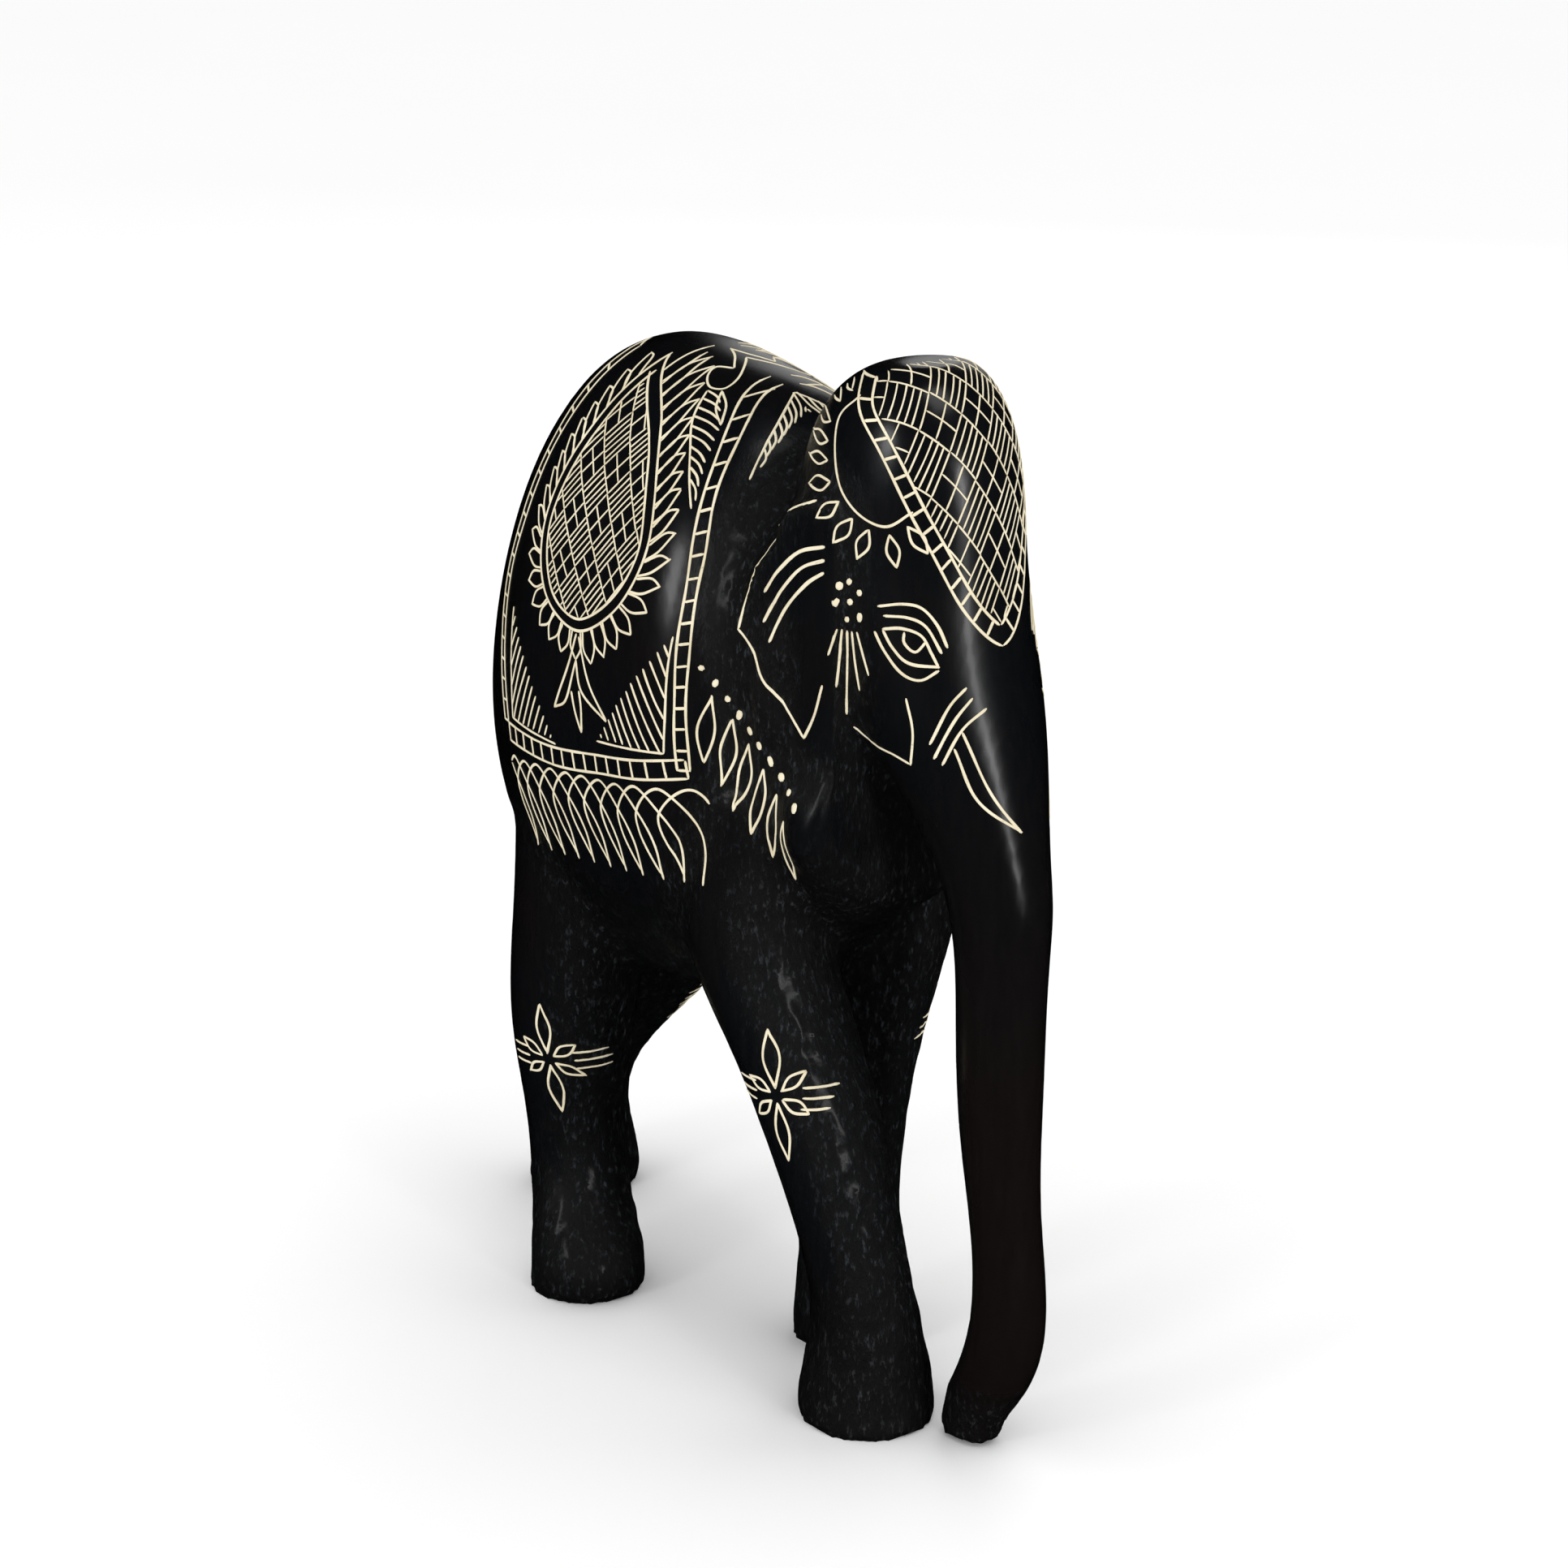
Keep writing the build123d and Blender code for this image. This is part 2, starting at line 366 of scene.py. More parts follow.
DROP = [(0, 189.5), (8, 177), (10, 167), (5, 157), (-5.5, 151),
        (-16, 155), (-22, 166), (-20.5, 179), (-16.5, 190.5)]
DROP_TIP = (-13, 200)
DROP_RIM = 2.2
PETALS = 37
LATTICE_WIDE = 7.4
LATTICE_TALL = 9.4
CAP_STRETCH = 1.2           # the cap's diamonds are taller by this factor
HATCHING = 5                # a hatched diamond has one stroke fewer


def drop_line():
    return curve([DROP_TIP] + DROP + [DROP_TIP])


def drop_outline():
    return [drop_line(), inner_drop()]


def inner_drop():
    line = beside(drop_line(), -DROP_RIM)
    return line[4:-4]


def drop_lattice():
    return diamond_lattice(inner_drop(), LATTICE_WIDE, LATTICE_TALL, HATCHING)


def drop_petals():
    """Leaves that stream up towards the tip at the top and stand out below."""
    line = drop_line()
    out = sideways(line)
    run = lengths(line)
    strokes = []
    for i in range(PETALS):
        share = 0.03 + 0.94 * (i + 0.5) / PETALS
        place = along(line, share)
        normal = np.array([np.interp(share * run[-1], run, axis) for axis in out.T])
        lean = np.array([0, 1.1]) * ramp(place[1], 154, 172)
        heading = normal + lean
        heading /= hypot(*heading)
        reach = 6.5 if place[0] > -5 else 5.5
        half = 0.42 * run[-1] * 0.94 / PETALS
        strokes += petal(place, normal, heading, reach, half)
    return strokes


def petal(place, normal, heading, reach, half):
    """A pointed leaf with its open base on a line."""
    step = np.array([normal[1], -normal[0]]) * half
    tip = place + heading * reach
    bulge = heading * reach * 0.55
    low = curve([place - step, place - step * 1.25 + bulge, tip])
    high = curve([tip, place + step * 1.25 + bulge, place + step])
    return [low, high]


def drop_finial():
    return [
        curve([(-5.6, 150.5), (-8, 143), (-12, 134.5)]),
        curve([(-12, 134.5), (-8, 137), (-5.2, 145.5)]),
        curve([(-5.2, 145.5), (-3, 139.5), (5, 135.5)]),
        curve([(-4.8, 150), (-1, 142), (5, 135.5)]),
        curve([(-6.3, 139), (-5, 135), (-3.3, 131.5)]),
        curve([(-3.3, 131.5), (-3.2, 136), (-3.8, 139.5)]),
    ]


def blanket_front_border():
    return ladder(curve([(9, 199), (14.5, 191), (17.5, 181), (20.5, 164), (22.5, 129)]), 2, 4.1)


def blanket_rear_border():
    return ladder(curve([(-25, 200), (-29.5, 185), (-33, 168), (-36, 150), (-34.5, 126)]), 2.6, 4.1)


def blanket_lower_border():
    return ladder(curve([(-33, 124), (-12, 124.3), (6, 126.8), (23, 129.3)]), 3.7, 3.8)


def corner_triangles():
    return triangle((19.3, 132), -1) + triangle((-30, 127.8), 1)


def triangle(corner, inward):
    """A right-angled corner patch, hatched with slanting strokes."""
    corner = np.array(corner)
    base = corner + (inward * 17.5, -1)
    top = corner + (0, 22.5)
    strokes = [straight(corner, base), straight(corner, top)]
    count = 14
    for i in range(1, count):
        start = base + (top - base) * i / count
        end = start + np.array([-inward * 0.55, -1]) * (start[1] - corner[1])
        past = (end[0] - corner[0]) * -inward
        if past > 0:
            end = start + (end - start) * (abs(start[0] - corner[0]) / abs(end[0] - start[0]))
        strokes.append(straight(start, end))
    return strokes


def fringe():
    """Arches two steps wide that cross, with a pointed loop hanging under each crossing."""
    count, pitch, drop = 12, 5.5, 18
    strokes = []
    for i in range(-1, count - 1):
        x = -34.5 + pitch * i
        low = 100.5 + 0.62 * (i + 1)
        profile = [(0, 0), (-3.3, 0.45), (-2.8, 0.73), (2.7, 1), (8.2, 0.73), (11.1, 0.4), (11, 0)]
        strokes.append(curve([(x + dx, low + share * drop) for dx, share in profile]))
    cloth = np.array([(-34.8, 95), (26.8, 95), (26.8, 130), (-34.8, 130)])
    return clipped(strokes, cloth)


def barbs(left, right, count, lead):
    """Strokes from one line to another, each ending a little further along."""
    left, right = curve(left), curve(right)
    strokes = [left]
    for i in range(count):
        share = i / (count - 1)
        start = along(left, share * (1 - lead))
        end = along(right, share)
        middle = (start + end) / 2 + (0.5, 0.3)
        strokes.append(curve([start, middle, end]))
    return strokes


def shoulder_feather():
    hook = [(-17, 102.5), (-8, 103.5), (-0.7, 100), (5, 94), (6, 89.5),
            (3, 88.2), (0, 90.3), (-1, 93.5), (2, 95.2)]
    strokes = [curve(hook), curve([(2, 95.2), (-3.4, 99.5), (-12, 102.8)])]
    ends = [(8, 86), (12.3, 81), (14, 75), (16, 68)]
    strokes += barbs([(3.4, 87.2), (6, 80), (10, 74.5), (16, 66.5)], ends, 10, 0.2)
    return strokes + leaf((6, 88.5), (12, 82), 1)


def neck_feather():
    ends = [(16, 103.5), (19, 95), (21, 87), (22, 80)]
    strokes = barbs([(8, 106.5), (13.5, 99), (18.5, 90), (22, 77)], ends, 13, 0.2)
    return strokes + [straight((6, 104.5), (9.5, 105)), straight((12.5, 106.5), (15.5, 105.5))]


EAR_RIM = [
    [(47, 184), (41, 181), (36, 175), (32, 165), (30, 157)],
    [(30, 157), (34, 154), (37, 149), (41, 145), (45.5, 139)],
    [(45.5, 139), (48, 144), (50, 150)],
]


def ear_line():
    return [curve(stroke) for stroke in EAR_RIM]


def ear_folds():
    return [
        curve([(50, 176), (44, 174), (39, 169.5), (36, 165)]),
        curve([(50, 173.5), (44.5, 171), (40, 166), (36, 159.5)]),
        curve([(50, 171), (45.5, 168), (41, 163), (38, 156)]),
    ]


def necklace_leaves():
    tops, bottoms = curve([(26.5, 144), (43.5, 123)]), curve([(25.5, 131), (41, 110)])
    strokes = []
    for i in range(6):
        strokes += leaf(along(tops, i / 5), along(bottoms, i / 5), 1.25)
    return strokes


def necklace_beads():
    line = curve([(24.5, 149), (36, 135.5), (46, 126)])
    return [bead(along(line, i / 9)) for i in range(10)]


def bead(place):
    """A short dab, never twice the same."""
    dab = rng.uniform((-0.4, 0.45), (0.4, 0.95))
    return straight(place - dab, place + dab)


ARC = [(-9, 203), (-13, 198), (-13, 189), (-9.5, 183.5), (-3.5, 181), (1.5, 184)]


def temple_arc():
    """The arc round the temple and the ring of petals outside it, small at the top."""
    line = curve(ARC)
    strokes = [line]
    out = sideways(line)
    run = lengths(line)
    count = 11
    for i in range(count):
        share = (i + 0.3) / count
        normal = -np.array([np.interp(share * run[-1], run, axis) for axis in out.T])
        size = min(1, 0.32 + 0.1 * i)
        place = along(line, share) + normal * 1.5
        strokes += leaf(place, place + normal * 6 * size, 0.75 + 0.45 * size)
    return strokes


def temple_rays():
    feet = [(-14, 156), (-12.5, 150), (-10.5, 144.5), (-8, 150), (-6, 153.5)]
    return [straight((-12.2 + 0.9 * i, 161), foot) for i, foot in enumerate(feet)]


def temple_beads():
    places = [(-12, 169), (-10, 170), (-8, 168.5), (-12.5, 166), (-10, 166.5), (-10.5, 163), (-8, 164)]
    return [bead(np.array(place)) for place in places]


def eye():
    return [
        curve([(-4.5, 166.5), (0, 167.5), (3.5, 167), (6.5, 164), (8.5, 160)]),
        curve([(-3.5, 165), (1, 165), (4.5, 163.5), (7.5, 159)]),
        curve([(-3.5, 162.5), (0, 163), (3.5, 162), (5.5, 159), (7, 156.5)]),
        curve([(-3.5, 162.5), (-1.5, 159.5), (1.5, 157), (7, 156.5)]),
        curve([(0.5, 162.5), (0.5, 160.5), (2.5, 159), (4.5, 161)]),
        curve([(-5, 162), (-3, 158.5), (0, 155), (3.5, 154), (7, 156)]),
    ]


def cheek_line():
    return [
        curve([(1, 150.5), (2.5, 144.5), (2, 138)]),
        curve([(2, 138), (-1.5, 139), (-6, 139.5), (-9.5, 142)]),
    ]


def tusk():
    return [curve([(11.5, 145), (16, 135.5), (22.5, 126.5)]), curve([(10, 142), (14.5, 133), (22.5, 126.5)])]


def tusk_bands():
    return [
        curve([(12, 153), (9, 149.5), (5.5, 142.5)]),
        curve([(13, 151), (10, 147), (6.5, 140)]),
        curve([(15.5, 149), (11.5, 145.5), (8, 139)]),
    ]


CAP = [(-7.8, 206), (-7.6, 201), (-3.5, 194.5), (3.5, 182.5), (9.5, 171.5), (14, 165), (18, 161), (22, 160)]
CAP_GAP = 2.7


def cap_border():
    return ladder(curve(CAP), CAP_GAP, 3.6)


def rump_tassels():
    """A short double stroke and two scribbled tassels."""
    strokes = [straight((-4, 178), (3, 178.5)), straight((-4, 176.3), (3, 176.6))]
    for top, bottom in ((168, 150), (146, 128)):
        zigzag = [(3.5 - 1.15 * i, top if i % 2 else bottom + 0.8 * i) for i in range(8)]
        strokes.append(curve(zigzag))
    return strokes


# A flower's petals: direction in degrees, length and half width
FLOWER_PETALS = [(90, 13, 1.5), (35, 7, 1.1), (145, 7, 1.1), (-90, 13, 1.5), (-35, 7, 1.1), (-145, 7, 1.1)]


def flower(height, lean):
    """Six pointed petals round a point, between three short bars on each side."""
    strokes = []
    for turn, reach, half in FLOWER_PETALS:
        a = radians(turn + lean)
        heading = np.array([cos(a), sin(a)])
        strokes += leaf(heading * 1.4, heading * reach, half)
    for side in (-1, 1):
        for level in (-2, 0, 2):
            strokes.append(straight((side * 4.8, level), (side * 9.5, level + 0.2 * side)))
    return [stroke + (0, height) for stroke in strokes]


# ---- putting lines on the wood ---------------------------------------------------------

class View:
    """A drawing plane: azimuth turns it from the right flank to the front, tilt lifts it."""

    def __init__(self, azimuth, tilt=0, axis_x=FLANK_X, axis_y=0):
        a, t = radians(azimuth), radians(tilt)
        self.facing = Vector((sin(a) * cos(t), -cos(a) * cos(t), sin(t)))
        self.right = Vector((cos(a), sin(a), 0))
        self.up = self.facing.cross(self.right)
        self.axis = Vector((axis_x, axis_y, 0))

    def start(self, point):
        place = self.axis + self.right * point[0] + self.up * point[1] + self.facing * CAST_FROM
        return place * MM

    def flat(self, place):
        """Where a place in space falls on the plane."""
        offset = place / MM - self.axis
        return offset.dot(self.right), offset.dot(self.up)


FLANK = View(0)
SHOULDER = View(0, tilt=60)
CHEEK = View(45, axis_x=52)
CROWN = View(90, tilt=40, axis_x=52)
RUMP = View(-50, axis_x=-38)


def flipped(vector, side):
    return Vector((vector.x, vector.y * side, vector.z))


def hits(tree, view, stroke, side, own_half=True):
    """The runs of (place, normal) where the stroke lands on the wood."""
    runs = [[]]
    direction = flipped(-view.facing, side)
    for point in stroke:
        place, normal, _, _ = tree.ray_cast(flipped(view.start(point), side), direction)
        lost = place is None or (own_half and place.y * side > 0.1 * MM)
        far = not lost and runs[-1] and (place - runs[-1][-1][0]).length > BREAK_GAP * MM
        if lost or far:
            runs.append([])
        if not lost:
            runs[-1].append((place, normal))
    return [run for run in runs if len(run) > 2]


def wobbled(stroke):
    """A little of the hand's unsteadiness, slow along the line."""
    phase = rng.uniform(0, 2 * pi, 2)
    run = lengths(stroke)[:, None]
    return stroke + HAND_WOBBLE * np.sin(run / (3.1, 4.3) + phase)


def ribbon(run, width):
    """A closed strip of paste along the run: crowned on top, rooted in the wood."""
    places = np.array([place for place, _ in run]) / MM
    normals = np.array([normal for _, normal in run])
    kernel = np.array([0.25, 0.5, 0.25])
    smooth = np.stack([np.convolve(np.pad(axis, 1, "edge"), kernel, "valid") for axis in normals.T], 1)
    smooth /= np.linalg.norm(smooth, axis=1, keepdims=True)
    direction = np.gradient(places, axis=0)
    across = np.cross(smooth, direction)
    across /= np.maximum(np.linalg.norm(across, axis=1, keepdims=True), 1e-9)
    run_length = np.concatenate([[0], np.cumsum(np.linalg.norm(np.diff(places, axis=0), axis=1))])
    phase = rng.uniform(0, 2 * pi, 2)
    waves = np.sin(run_length / 1.3 + phase[0]) + np.sin(run_length / 3.7 + phase[1])
    wobble = 1 + WIDTH_WOBBLE * 0.5 * waves
    end = np.minimum(run_length, run_length[-1] - run_length) / (width * 0.5)
    half = width / 2 * wobble * np.sqrt(np.clip(end * 1.2 + 0.25, 0, 1))
    section = [(-1, -LINE_EDGE), (-0.55, LINE_CROWN * 0.7), (0, LINE_CROWN),
               (0.55, LINE_CROWN * 0.7), (1, -LINE_EDGE), (0, -LINE_ROOT)]
    rings = [places + across * (half * side)[:, None] + smooth * height for side, height in section]
    low, high = (np.array(corner) for corner in CAD_BOX)
    return np.clip(np.stack(rings, 1) * MM, low, high)


def strip_mesh(name, strips):
    """One mesh from closed strips, each an array of rings of six points."""
    points, faces = [], []
    for strip in strips:
        base = len(points)
        count, sides = strip.shape[:2]
        points += strip.reshape(-1, 3).tolist()
        for i in range(count - 1):
            for j in range(sides):
                k = (j + 1) % sides
                a, b = base + i * sides, base + (i + 1) * sides
                faces.append((a + j, b + j, b + k, a + k))
        faces.append(tuple(base + j for j in range(sides)))
        faces.append(tuple(base + (count - 1) * sides + j for j in reversed(range(sides))))
    mesh = bpy.data.meshes.new(name)
    mesh.from_pydata(points, [], faces)
    shape = bmesh.new()
    shape.from_mesh(mesh)
    bmesh.ops.recalc_face_normals(shape, faces=shape.faces)
    shape.to_mesh(mesh)
    shape.free()
    mesh.polygons.foreach_set("use_smooth", np.ones(len(mesh.polygons), bool))
    return mesh


def engrave(name, node, tree, view, strokes, side, width=LINE_WIDTH, own_half=True):
    """One motif on one side of the elephant: side is 1 for the right and -1 for the left.
    With own_half, no stroke crosses the middle plane."""
    strips = []
    for stroke in strokes:
        if len(stroke) < 3:
            continue
        for run in hits(tree, view, wobbled(stroke), side, own_half):
            strips.append(ribbon(run, width))
    piece = bpy.data.objects.new(name, strip_mesh(name, strips))
    bpy.context.scene.collection.objects.link(piece)
    piece.data.materials.append(PASTE)
    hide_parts(node)
    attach(piece, "root")


# Piece: (motif, view, CAD node that it stands for, line width)
PAIRED = {
    "blanket_front_border": (blanket_front_border, FLANK, "blanket_front_border", LINE_WIDTH),
    "blanket_rear_border": (blanket_rear_border, FLANK, "blanket_rear_border", LINE_WIDTH),
    "blanket_lower_border": (blanket_lower_border, FLANK, "blanket_lower_border", LINE_WIDTH),
    "drop_outline": (drop_outline, FLANK, "drop_motif", LINE_WIDTH),
    "drop_lattice": (drop_lattice, FLANK, "drop_motif", FINE_WIDTH),
    "drop_petals": (drop_petals, FLANK, "drop_motif", 0.6),
    "drop_finial": (drop_finial, FLANK, "drop_motif", LINE_WIDTH),
    "corner_triangles": (corner_triangles, FLANK, "corner_triangles", 0.6),
    "fringe": (fringe, FLANK, "fringe", LINE_WIDTH),
    "shoulder_feather": (shoulder_feather, SHOULDER, "shoulder_feather", 0.6),
    "neck_feather": (neck_feather, SHOULDER, "neck_feather", 0.6),
    "ear_line": (ear_line, FLANK, "ear_line", 0.72),
    "ear_folds": (ear_folds, FLANK, "ear_line", 0.85),
    "necklace_leaves": (necklace_leaves, FLANK, "necklace", 0.65),
    "necklace_beads": (necklace_beads, FLANK, "necklace", BEAD_WIDTH),
    "temple_arc": (temple_arc, CHEEK, "temple_arc", 0.62),
    "temple_rays": (temple_rays, CHEEK, "temple_arc", 0.65),
    "temple_beads": (temple_beads, CHEEK, "temple_arc", BEAD_WIDTH),
    "eye": (eye, CHEEK, "eye", 0.7),
    "cheek_line": (cheek_line, CHEEK, "tusk", 0.62),
    "tusk": (tusk, CHEEK, "tusk", 0.68),
    "tusk_bands": (tusk_bands, CHEEK, "tusk", 0.7),
    "cap_border": (cap_border, CHEEK, "cap_border", LINE_WIDTH),
    "rump_tassels": (rump_tassels, RUMP, "rump_tassels", LINE_WIDTH),
}
SIDES = {"right": 1, "left": -1}
FAR_TUSK_BACK = 7           # keeps the left tusk out of the view past the trunk

# Leg flowers: leg axis x and distance from the middle plane, height, lean
FLOWERS = {
    "front_right": (38, 14, 68, 12),
    "front_left": (22, 14, 68, 0),
    "rear_right": (-35, 18, 53, 0),
    "rear_left": (-51, 17, 53, 0),
}
FLOWER_AZIMUTH = {"right": 20, "left": 0}
FLOWER_WIDTH = 0.68


def cap_outline(tree):
    """The inner edge of the cap border, seen on the crown's own plane, and its mirror."""
    edge = beside(curve(CAP), CAP_GAP / 2)
    right = []
    for run in hits(tree, CHEEK, edge, 1):
        right += [CROWN.flat(place) for place, _ in run]
    right = np.array(right)
    return np.vstack([right, right[::-1] * (-1, 1)])


def draw_lines(wood):
    tree = BVHTree.FromObject(wood, bpy.context.evaluated_depsgraph_get())
    for name, (motif, view, node, width) in PAIRED.items():
        for side, sign in SIDES.items():
            back = FAR_TUSK_BACK if side == "left" and node == "tusk" else 0
            strokes = [stroke - (back, 0) for stroke in motif()]
            engrave(f"{name}_{side}_lines", f"{node}_{side}", tree, view, strokes, sign, width)
    lattice = diamond_lattice(cap_outline(tree), LATTICE_WIDE, LATTICE_TALL * CAP_STRETCH, HATCHING)
    engrave("cap_lattice_lines", "cap_lattice", tree, CROWN, lattice, 1, FINE_WIDTH, own_half=False)
    for name, (x, y, height, lean) in FLOWERS.items():
        side = name.split("_")[1]
        view = View(FLOWER_AZIMUTH[side], axis_x=x + FLANK_X, axis_y=-y)
        node = f"{name}_leg_flower"
        engrave(f"{node}_lines", node, tree, view, flower(height, lean),
                SIDES[side], FLOWER_WIDTH)


# ---- materials ---------------------------------------------------------------------------

class Nodes:
    """Short calls for building a material's node tree."""

    def __init__(self, name):
        self.material = bpy.data.materials.new(name)
        self.material.use_nodes = True
        self.tree = self.material.node_tree
        self.shader = self.tree.nodes["Principled BSDF"]

    def add(self, kind, **values):
        node = self.tree.nodes.new(kind)
        for key, value in values.items():
            setattr(node, key, value)
        return node

    def feed(self, socket, source):
        if isinstance(source, bpy.types.NodeSocket):
            self.tree.links.new(source, socket)
        else:
            socket.default_value = source

    def place(self, stretch=(1, 1, 1)):
        coordinates = self.add("ShaderNodeTexCoord")
        mapping = self.add("ShaderNodeMapping")
        self.feed(mapping.inputs["Vector"], coordinates.outputs["Object"])
        mapping.inputs["Scale"].default_value = stretch
        return mapping.outputs["Vector"]

    def noise(self, vector, scale, detail=3.0, roughness=0.55):
        node = self.add("ShaderNodeTexNoise")
        self.feed(node.inputs["Vector"], vector)
        node.inputs["Scale"].default_value = scale
        node.inputs["Detail"].default_value = detail
        node.inputs["Roughness"].default_value = roughness
        return node.outputs["Fac"]

    def ramp(self, value, low, high, start=0.0, end=1.0):
        node = self.add("ShaderNodeMapRange")
        names = ("Value", "From Min", "From Max", "To Min", "To Max")
        for key, source in zip(names, (value, low, high, start, end)):
            self.feed(node.inputs[key], source)
        return node.outputs["Result"]

    def mix(self, share, first, second):
        node = self.add("ShaderNodeMix", data_type="RGBA")
        self.feed(node.inputs[0], share)
        self.feed(node.inputs[6], first)
        self.feed(node.inputs[7], second)
        return node.outputs[2]

    def math(self, operation, first, second):
        node = self.add("ShaderNodeMath", operation=operation)
        self.feed(node.inputs[0], first)
        self.feed(node.inputs[1], second)
        return node.outputs[0]

    def bump(self, height, strength, distance, below=None):
        node = self.add("ShaderNodeBump")
        self.feed(node.inputs["Height"], height)
        node.inputs["Strength"].default_value = strength
        node.inputs["Distance"].default_value = distance
        if below is not None:
            self.feed(node.inputs["Normal"], below)
        return node.outputs["Normal"]


BLUE_BLACK = (0.0022, 0.0032, 0.0046, 1)
BROWN_BLACK = (0.0062, 0.0036, 0.0028, 1)
FLECK = (0.045, 0.06, 0.075, 1)


def wood_material():
    n = Nodes("dark_wood_finish")
    grain_place = n.place((1, 1, 0.14))
    rough_cut = n.add("ShaderNodeAttribute", attribute_name="rough_cut").outputs["Fac"]
    patches = n.noise(n.place(), 22)
    grain = n.noise(grain_place, 900, 5, 0.6)
    streaks = n.noise(n.place((1, 1, 0.4)), 1000, 5, 0.72)
    axes = n.add("ShaderNodeSeparateXYZ")
    n.feed(axes.inputs[0], n.place())
    trunk = n.math("MULTIPLY", n.ramp(axes.outputs["X"], 0.058, 0.078), n.ramp(axes.outputs["Z"], 0.15, 0.07))
    brown = n.math("MAXIMUM", n.ramp(patches, 0.42, 0.75, 0, 0.7), n.math("MULTIPLY", trunk, 0.8))
    tone = n.mix(brown, BLUE_BLACK, BROWN_BLACK)
    tone = n.mix(n.ramp(grain, 0.4, 0.75, 0, 0.35), tone, (0.0085, 0.0066, 0.0058, 1))
    flecks = n.math("MULTIPLY", n.ramp(streaks, 0.55, 0.72), rough_cut)
    n.feed(n.shader.inputs["Base Color"], n.mix(n.math("MULTIPLY", flecks, 0.7), tone, FLECK))
    smear = n.noise(n.place((1, 1, 0.4)), 60, 4)
    gloss = n.ramp(smear, 0.3, 0.75, 0.2, 0.36)
    n.feed(n.shader.inputs["Roughness"], n.ramp(rough_cut, 0.1, 0.8, gloss, 0.58))
    n.shader.inputs["Specular IOR Level"].default_value = 0.4
    n.shader.inputs["Coat Weight"].default_value = 0.12
    n.shader.inputs["Coat Roughness"].default_value = 0.16
    fine = n.bump(grain, 0.12, 0.00008)
    gouges = n.math("MULTIPLY", streaks, rough_cut)
    n.feed(n.shader.inputs["Normal"], n.bump(gouges, 0.8, 0.0006, fine))
    return n.material


def paste_material():
    n = Nodes("pale_paste_finish")
    cloud = n.noise(n.place(), 110, 3)
    specks = n.noise(n.place(), 1600, 3)
    tone = n.mix(n.ramp(cloud, 0.35, 0.7), (0.87, 0.79, 0.58, 1), (0.72, 0.63, 0.43, 1))
    worn = n.ramp(specks, 0.6, 0.75, 0, 0.45)
    n.feed(n.shader.inputs["Base Color"], n.mix(worn, tone, (0.3, 0.26, 0.19, 1)))
    n.feed(n.shader.inputs["Roughness"], n.ramp(cloud, 0.3, 0.7, 0.45, 0.65))
    n.feed(n.shader.inputs["Normal"], n.bump(specks, 0.3, 0.0001))
    return n.material


def floor_material():
    n = Nodes("studio_floor")
    tone = n.noise(n.place(), 3, 2)
    n.feed(n.shader.inputs["Base Color"], n.mix(tone, (1, 1, 1, 1), (0.98, 0.98, 0.98, 1)))
    n.shader.inputs["Roughness"].default_value = 0.9
    n.shader.inputs["Specular IOR Level"].default_value = 0.1
    return n.material


# ---- studio -------------------------------------------------------------------------------

FLOOR_HALF = 6


def add_floor():
    mesh = bpy.data.meshes.new("studio_floor")
    corners = [(x * FLOOR_HALF, y * FLOOR_HALF, 0) for x, y in ((-1, -1), (1, -1), (1, 1), (-1, 1))]
    mesh.from_pydata(corners, [], [(0, 1, 2, 3)])
    floor = bpy.data.objects.new("studio_floor", mesh)
    bpy.context.scene.collection.objects.link(floor)
    mesh.materials.append(floor_material())
    floor.visible_glossy = False


def aim(obj, target):
    obj.rotation_euler = (Vector(target) - obj.location).to_track_quat("-Z", "Y").to_euler()


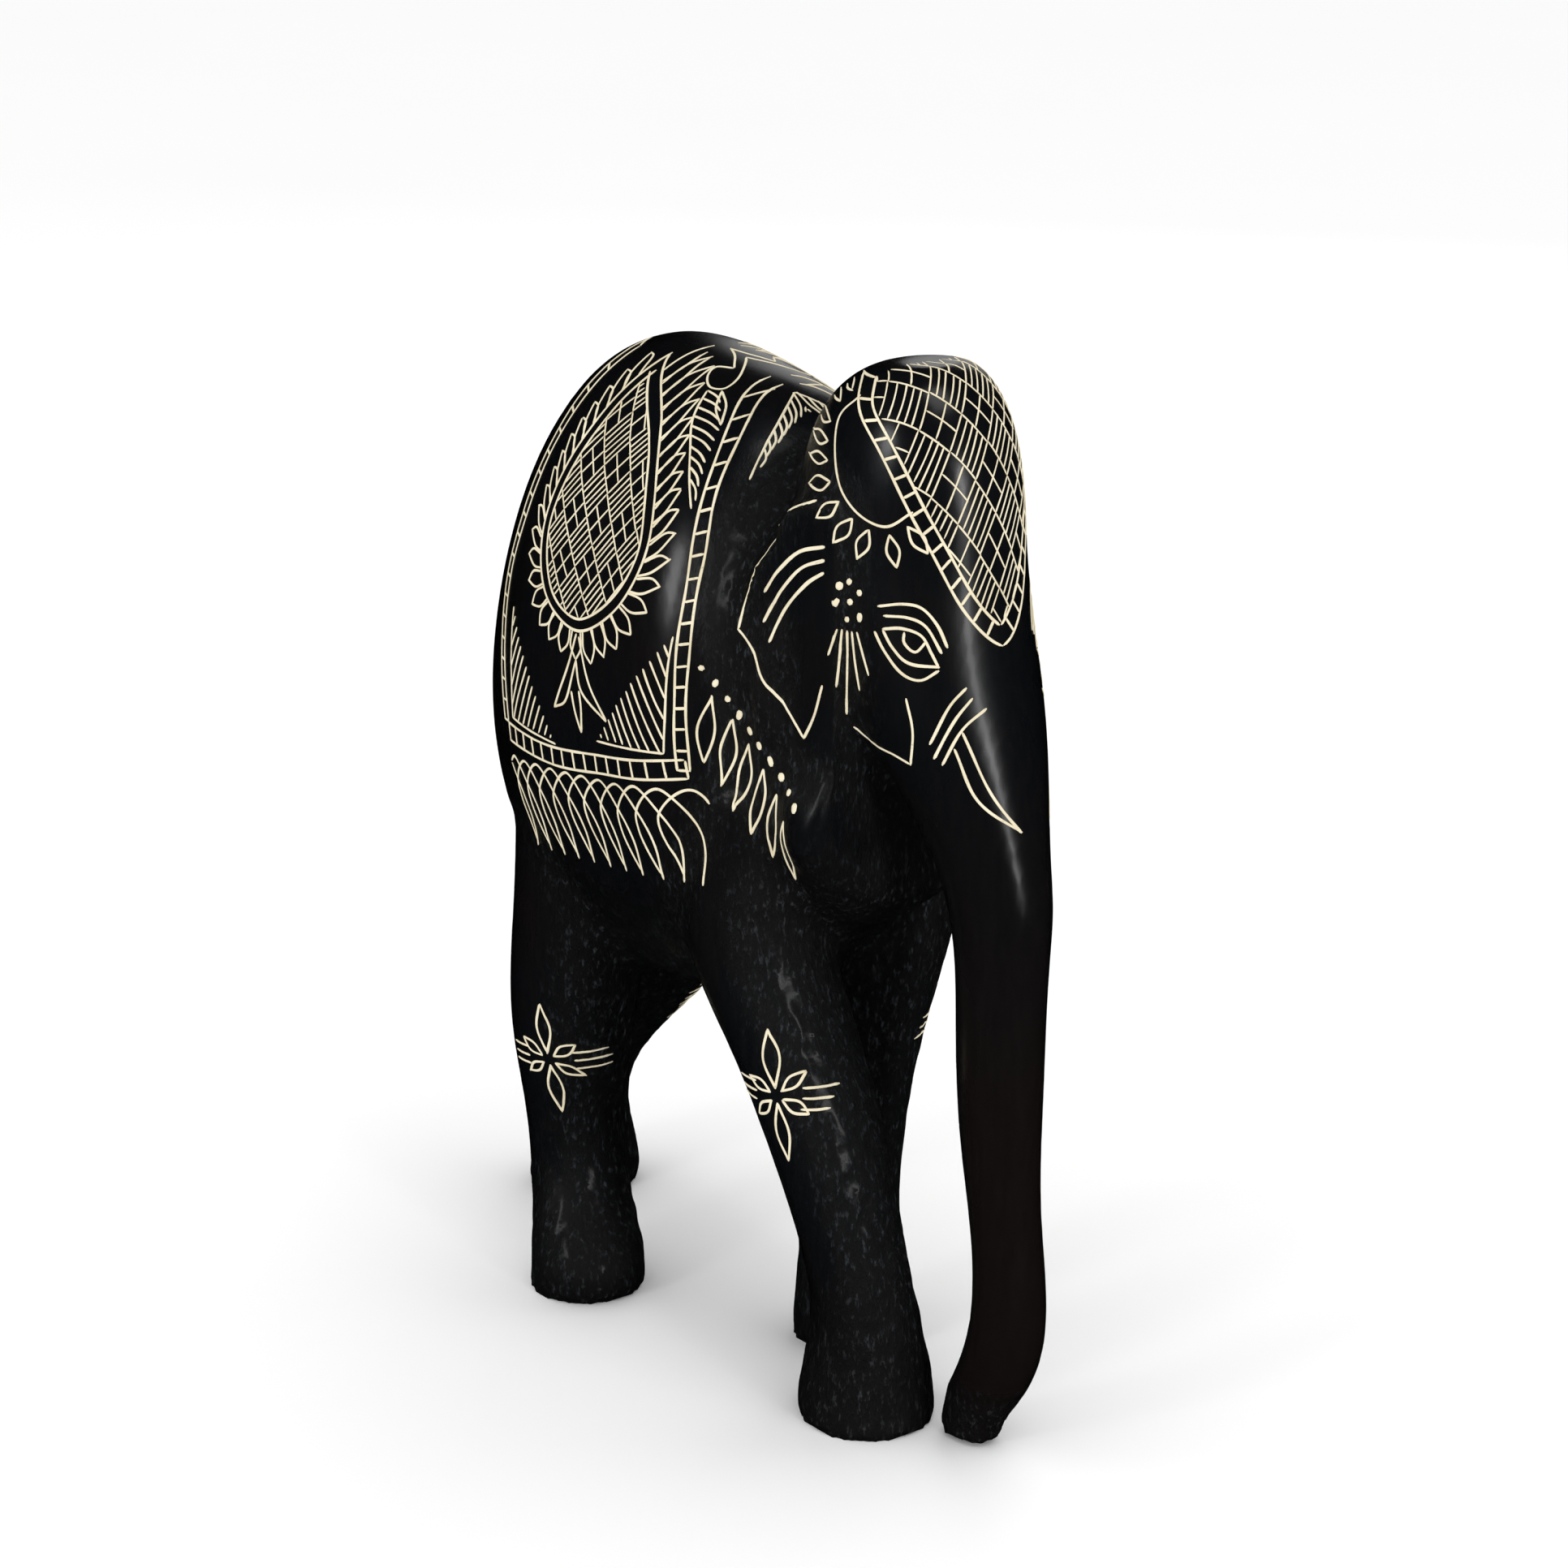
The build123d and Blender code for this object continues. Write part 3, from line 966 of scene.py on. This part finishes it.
# Softboxes: place, size and power
SOFTBOXES = {
    "window_front": ((1.15, -0.12, 0.3), (0.12, 0.3), 1.6),
    "window_side": ((0.08, -1.08, 0.5), (0.16, 0.3), 1.3),
    "overhead": ((0.5, -0.05, 1.05), (0.4, 0.4), 1),
    "rim": ((-0.7, 0.9, 0.6), (0.5, 0.7), 0.9),
}
LIGHT_TARGET = (0, 0, 0.11)


def softbox(name, location, size, power):
    lamp = bpy.data.lights.new(name, "AREA")
    lamp.shape = "RECTANGLE"
    lamp.size, lamp.size_y = size
    lamp.energy = power
    lamp_object = bpy.data.objects.new(name, lamp)
    bpy.context.scene.collection.objects.link(lamp_object)
    lamp_object.location = location
    aim(lamp_object, LIGHT_TARGET)


def add_lights():
    """Even light all round for the paste and the floor; the softboxes alone give the gloss."""
    for name, (place, size, power) in SOFTBOXES.items():
        softbox(name, place, size, power)
    world = bpy.data.worlds.new("studio")
    bpy.context.scene.world = world
    world.use_nodes = True
    background = world.node_tree.nodes["Background"]
    background.inputs["Color"].default_value = (1, 1, 1, 1)
    background.inputs["Strength"].default_value = 1.0
    world.cycles_visibility.glossy = False


CAMERA_AZIMUTH = 52.5
CAMERA_HEIGHT = 18.5
CAMERA_DISTANCE = 0.775
CAMERA_TARGET = Vector((0.006, 0, 0.1))
CAMERA_SENSOR = 36
CAMERA_LENS = 89.6
CAMERA_SHIFT = (0.0144, 0.048)


def add_camera():
    a, e = radians(CAMERA_AZIMUTH), radians(CAMERA_HEIGHT)
    back = Vector((sin(a) * cos(e), -cos(a) * cos(e), sin(e)))
    data = bpy.data.cameras.new("studio_camera")
    camera = bpy.data.objects.new("studio_camera", data)
    bpy.context.scene.collection.objects.link(camera)
    camera.location = CAMERA_TARGET + back * CAMERA_DISTANCE
    aim(camera, CAMERA_TARGET)
    data.sensor_width = CAMERA_SENSOR
    data.lens = CAMERA_LENS
    data.shift_x, data.shift_y = CAMERA_SHIFT
    data.clip_start = 0.01
    bpy.context.scene.camera = camera


PASTE = paste_material()
add_camera()
add_floor()
add_lights()
draw_lines(carve_wood())
bpy.context.scene.view_settings.view_transform = "Standard"
